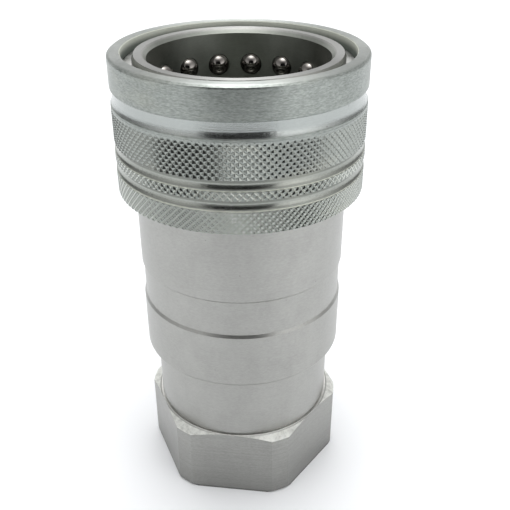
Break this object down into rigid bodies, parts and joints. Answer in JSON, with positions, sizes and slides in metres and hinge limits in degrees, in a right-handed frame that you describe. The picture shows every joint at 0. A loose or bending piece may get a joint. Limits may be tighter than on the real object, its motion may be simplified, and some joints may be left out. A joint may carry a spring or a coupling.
{
  "type": "hydraulic quick coupler",
  "caption": "Female ball-lock hydraulic quick coupler: knurled spring-return sleeve, ring of locking balls in the mouth, poppet valve inside, hexagonal threaded port end.",
  "frame": {"origin": "centre of the hexagon's end face, on the coupler's axis", "axes": "+Z along the coupler's axis, from the threaded port end up to the mouth; -Y faces the picture's camera"},
  "size_m": [0.0514, 0.0514, 0.0995],
  "materials": {
    "turned_steel": "zinc-plated satin turned steel",
    "plated_steel": "zinc-plated satin steel, knurled bands",
    "spring_steel": "bright drawn wire",
    "ball_steel": "polished hardened steel",
    "seal_rubber": "matt black nitrile",
    "backup_plastic": "white PTFE"
  },
  "bodies": {
    "body": {"coupler_body": "turned_steel", "port_adapter": "turned_steel", "sleeve_retaining_ring": "spring_steel", "bore_o_ring": "seal_rubber", "backup_ring": "backup_plastic", "adapter_o_ring": "seal_rubber", "valve_guide": "turned_steel", "valve_spring": "spring_steel"},
    "sleeve_spring": {"sleeve_spring": "spring_steel"},
    "sleeve": {"locking_sleeve": "plated_steel"},
    "poppet": {"valve_poppet": "turned_steel", "poppet_seal": "seal_rubber"},
    "ball_01": {"locking_ball_01": "ball_steel"},
    "ball_02": {"locking_ball_02": "ball_steel"},
    "ball_03": {"locking_ball_03": "ball_steel"},
    "ball_04": {"locking_ball_04": "ball_steel"},
    "ball_05": {"locking_ball_05": "ball_steel"},
    "ball_06": {"locking_ball_06": "ball_steel"},
    "ball_07": {"locking_ball_07": "ball_steel"},
    "ball_08": {"locking_ball_08": "ball_steel"},
    "ball_09": {"locking_ball_09": "ball_steel"},
    "ball_10": {"locking_ball_10": "ball_steel"},
    "ball_11": {"locking_ball_11": "ball_steel"},
    "ball_12": {"locking_ball_12": "ball_steel"},
    "ball_13": {"locking_ball_13": "ball_steel"},
    "ball_14": {"locking_ball_14": "ball_steel"},
    "ball_15": {"locking_ball_15": "ball_steel"},
    "ball_16": {"locking_ball_16": "ball_steel"}
  },
  "joints": [
    {"name": "sleeve_spin", "type": "hinge", "parent": "body", "child": "sleeve_spring", "pos_m": [0, 0, 0.0854], "axis": [0, 0, 1], "continuous": true},
    {"name": "sleeve_slide", "type": "slide", "parent": "sleeve_spring", "child": "sleeve", "axis": [0, 0, -1], "range_m": [0, 0.0055], "stiffness_N_per_m": 560, "springref_m": -0.036, "deforming": ["sleeve_spring"]},
    {"name": "poppet_slide", "type": "slide", "parent": "body", "child": "poppet", "axis": [0, 0, -1], "range_m": [0, 0.006], "stiffness_N_per_m": 3900, "springref_m": -0.005, "deforming": ["valve_spring"]},
    {"name": "ball_01_slide", "type": "slide", "parent": "body", "child": "ball_01", "axis": [0.9722, 0.234, 0], "range_m": [0, 0.00185]},
    {"name": "ball_02_slide", "type": "slide", "parent": "body", "child": "ball_02", "axis": [0.8087, 0.5882, 0], "range_m": [0, 0.00185]},
    {"name": "ball_03_slide", "type": "slide", "parent": "body", "child": "ball_03", "axis": [0.5221, 0.8529, 0], "range_m": [0, 0.00185]},
    {"name": "ball_04_slide", "type": "slide", "parent": "body", "child": "ball_04", "axis": [0.1559, 0.9878, 0], "range_m": [0, 0.00185]},
    {"name": "ball_05_slide", "type": "slide", "parent": "body", "child": "ball_05", "axis": [-0.234, 0.9722, 0], "range_m": [0, 0.00185]},
    {"name": "ball_06_slide", "type": "slide", "parent": "body", "child": "ball_06", "axis": [-0.5882, 0.8087, 0], "range_m": [0, 0.00185]},
    {"name": "ball_07_slide", "type": "slide", "parent": "body", "child": "ball_07", "axis": [-0.8529, 0.5221, 0], "range_m": [0, 0.00185]},
    {"name": "ball_08_slide", "type": "slide", "parent": "body", "child": "ball_08", "axis": [-0.9878, 0.1559, 0], "range_m": [0, 0.00185]},
    {"name": "ball_09_slide", "type": "slide", "parent": "body", "child": "ball_09", "axis": [-0.9722, -0.234, 0], "range_m": [0, 0.00185]},
    {"name": "ball_10_slide", "type": "slide", "parent": "body", "child": "ball_10", "axis": [-0.8087, -0.5882, 0], "range_m": [0, 0.00185]},
    {"name": "ball_11_slide", "type": "slide", "parent": "body", "child": "ball_11", "axis": [-0.5221, -0.8529, 0], "range_m": [0, 0.00185]},
    {"name": "ball_12_slide", "type": "slide", "parent": "body", "child": "ball_12", "axis": [-0.1559, -0.9878, 0], "range_m": [0, 0.00185]},
    {"name": "ball_13_slide", "type": "slide", "parent": "body", "child": "ball_13", "axis": [0.234, -0.9722, 0], "range_m": [0, 0.00185]},
    {"name": "ball_14_slide", "type": "slide", "parent": "body", "child": "ball_14", "axis": [0.5882, -0.8087, 0], "range_m": [0, 0.00185]},
    {"name": "ball_15_slide", "type": "slide", "parent": "body", "child": "ball_15", "axis": [0.8529, -0.5221, 0], "range_m": [0, 0.00185]},
    {"name": "ball_16_slide", "type": "slide", "parent": "body", "child": "ball_16", "axis": [0.9878, -0.1559, 0], "range_m": [0, 0.00185]}
  ],
  "couplings": [
    {"joint": "ball_01_slide", "follows": "sleeve_slide", "ratio": 0.33454},
    {"joint": "ball_02_slide", "follows": "sleeve_slide", "ratio": 0.33454},
    {"joint": "ball_03_slide", "follows": "sleeve_slide", "ratio": 0.33454},
    {"joint": "ball_04_slide", "follows": "sleeve_slide", "ratio": 0.33454},
    {"joint": "ball_05_slide", "follows": "sleeve_slide", "ratio": 0.33454},
    {"joint": "ball_06_slide", "follows": "sleeve_slide", "ratio": 0.33454},
    {"joint": "ball_07_slide", "follows": "sleeve_slide", "ratio": 0.33454},
    {"joint": "ball_08_slide", "follows": "sleeve_slide", "ratio": 0.33454},
    {"joint": "ball_09_slide", "follows": "sleeve_slide", "ratio": 0.33454},
    {"joint": "ball_10_slide", "follows": "sleeve_slide", "ratio": 0.33454},
    {"joint": "ball_11_slide", "follows": "sleeve_slide", "ratio": 0.33454},
    {"joint": "ball_12_slide", "follows": "sleeve_slide", "ratio": 0.33454},
    {"joint": "ball_13_slide", "follows": "sleeve_slide", "ratio": 0.33454},
    {"joint": "ball_14_slide", "follows": "sleeve_slide", "ratio": 0.33454},
    {"joint": "ball_15_slide", "follows": "sleeve_slide", "ratio": 0.33454},
    {"joint": "ball_16_slide", "follows": "sleeve_slide", "ratio": 0.33454}
  ]
}
